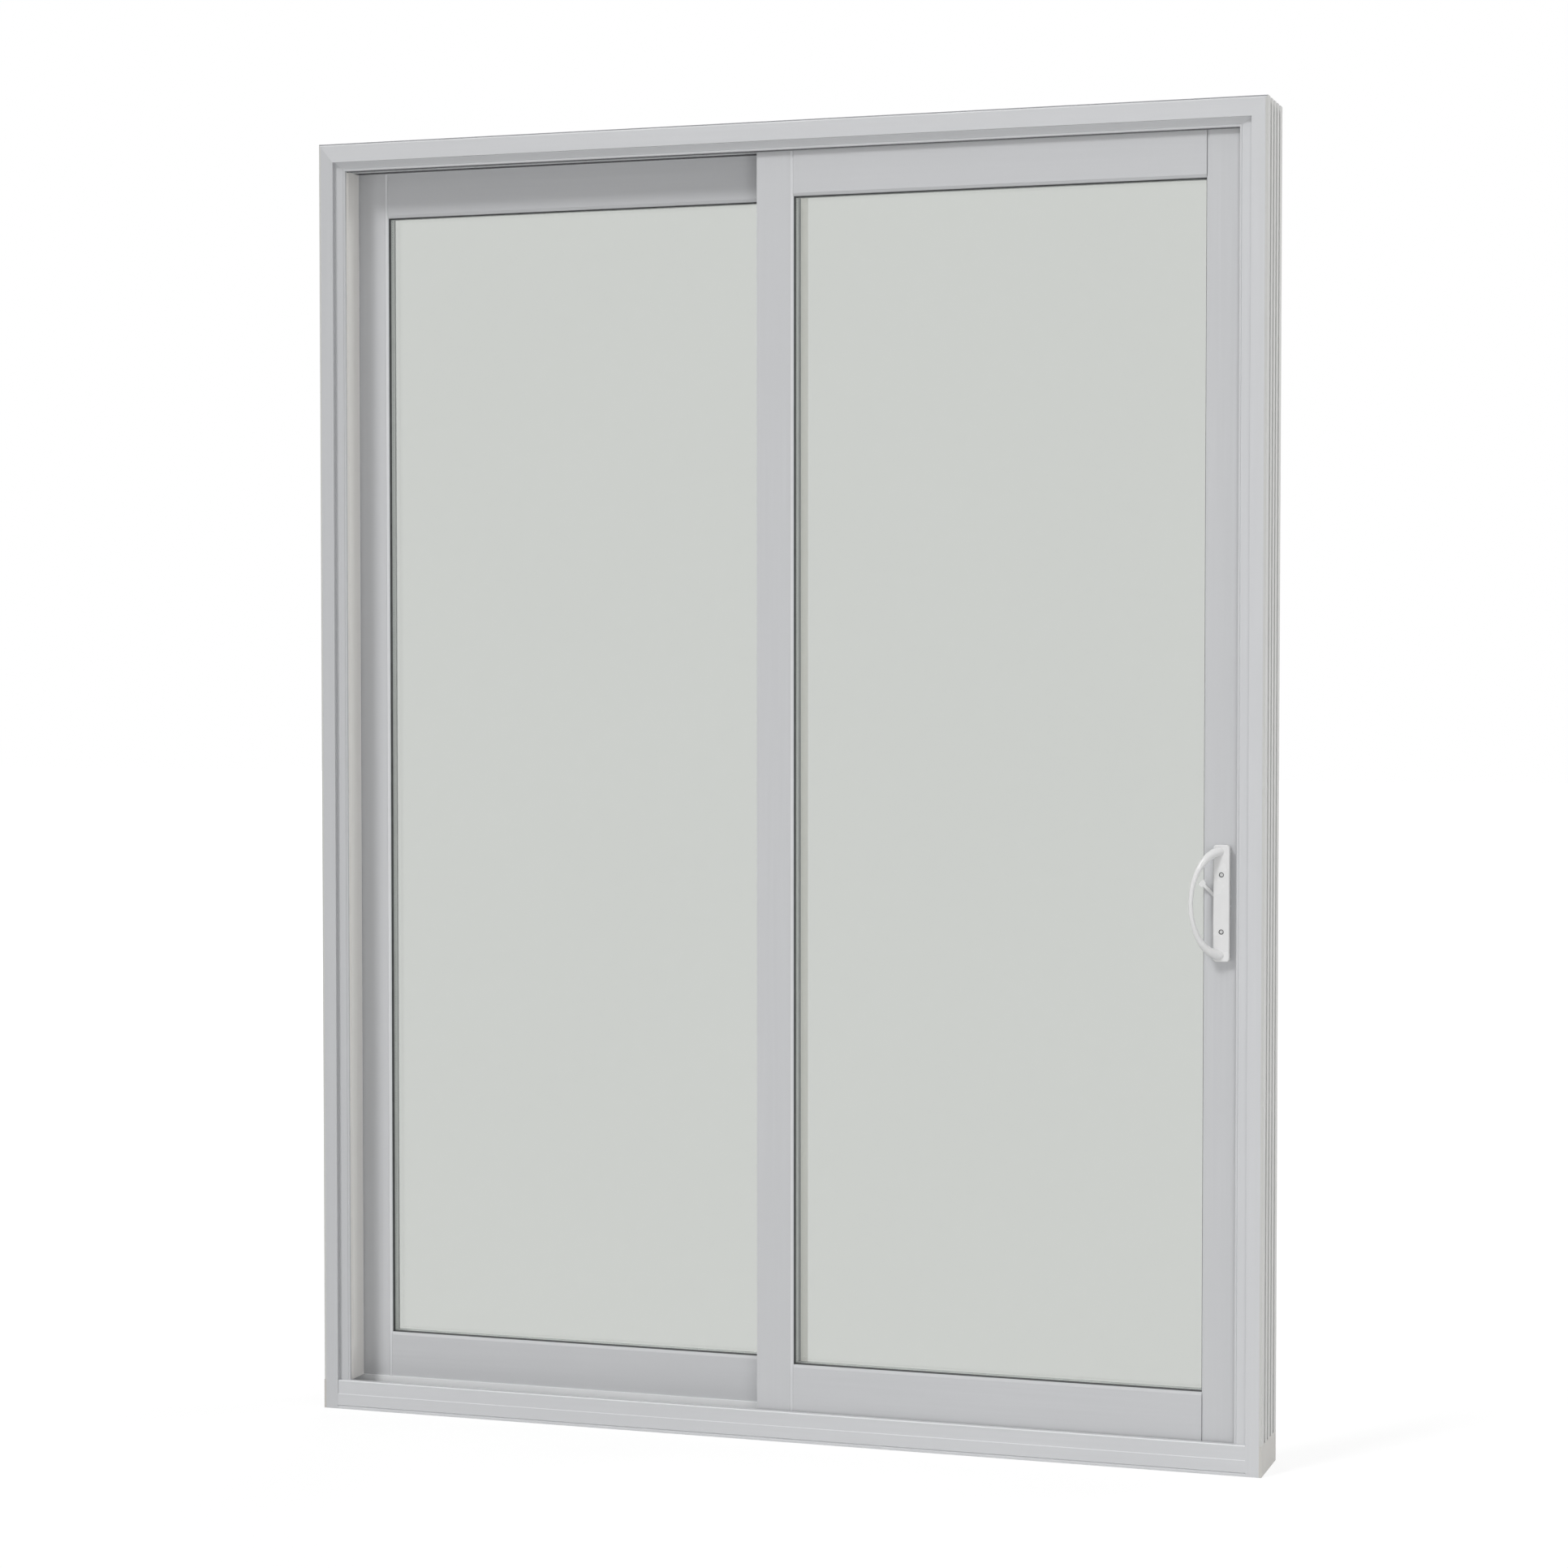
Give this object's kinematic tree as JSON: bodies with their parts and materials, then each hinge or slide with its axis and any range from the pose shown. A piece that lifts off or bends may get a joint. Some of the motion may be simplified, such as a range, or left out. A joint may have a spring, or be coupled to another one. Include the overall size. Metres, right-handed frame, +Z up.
{
  "type": "sliding patio door",
  "caption": "Vinyl sliding patio door: a fixed glazed panel and a sliding glazed panel with a bow pull and thumb latch in a grooved frame with a sill.",
  "frame": {"origin": "middle of the sill's base, at half the frame's depth", "axes": "+Z up, +Y from the room side to the outside, +X along the sill from the fixed panel to the sliding one"},
  "size_m": [1.517, 0.1489, 2.02],
  "materials": {
    "frame_vinyl": "satin extruded vinyl, pale grey",
    "panel_vinyl": "satin extruded vinyl, pale grey",
    "cover_vinyl": "satin vinyl, warm grey",
    "glass": "clear float glass, faint grey-green",
    "gasket_rubber": "matt black glazing gasket",
    "spacer_metal": "mill-finish spacer bar",
    "track_metal": "mill-finish roller track",
    "plated_steel": "zinc-plated steel",
    "roller_plastic": "dark nylon",
    "handle_enamel": "white enamel on cast zinc"
  },
  "bodies": {
    "frame": {"head": "frame_vinyl", "left_jamb": "frame_vinyl", "right_jamb": "frame_vinyl", "sill": "frame_vinyl", "left_sill_end_pad": "cover_vinyl", "right_sill_end_pad": "cover_vinyl", "left_jamb_cover": "cover_vinyl", "right_jamb_cover": "cover_vinyl", "roller_track": "track_metal", "lock_keeper": "plated_steel", "fixed_jamb_stile": "panel_vinyl", "fixed_meeting_stile": "panel_vinyl", "fixed_top_rail": "panel_vinyl", "fixed_bottom_rail": "panel_vinyl", "fixed_outer_bead": "panel_vinyl", "fixed_meeting_bead": "panel_vinyl", "fixed_top_bead": "panel_vinyl", "fixed_bottom_bead": "panel_vinyl", "fixed_gasket": "gasket_rubber", "fixed_inner_pane": "glass", "fixed_spacer": "spacer_metal", "fixed_outer_pane": "glass", "fixed_interlock": "panel_vinyl"},
    "sliding_panel": {"sliding_lock_stile": "panel_vinyl", "sliding_meeting_stile": "panel_vinyl", "sliding_top_rail": "panel_vinyl", "sliding_bottom_rail": "panel_vinyl", "sliding_outer_bead": "panel_vinyl", "sliding_meeting_bead": "panel_vinyl", "sliding_top_bead": "panel_vinyl", "sliding_bottom_bead": "panel_vinyl", "sliding_gasket": "gasket_rubber", "sliding_inner_pane": "glass", "sliding_spacer": "spacer_metal", "sliding_outer_pane": "glass", "sliding_interlock": "panel_vinyl", "lock_face_plate": "plated_steel", "left_roller_housing": "plated_steel", "right_roller_housing": "plated_steel", "left_roller_wheel": "roller_plastic", "right_roller_wheel": "roller_plastic", "interior_handle": "handle_enamel", "exterior_handle": "handle_enamel"},
    "thumb_latch": {"thumb_latch": "handle_enamel"}
  },
  "joints": [
    {"name": "panel_slide", "type": "slide", "parent": "frame", "child": "sliding_panel", "axis": [-1, 0, 0], "range_m": [0, 0.61]},
    {"name": "thumb_latch_turn", "type": "hinge", "parent": "sliding_panel", "child": "thumb_latch", "pos_m": [0.6945, -0.044, 0.844], "axis": [0, -1, 0], "range_deg": [0, 90]}
  ]
}
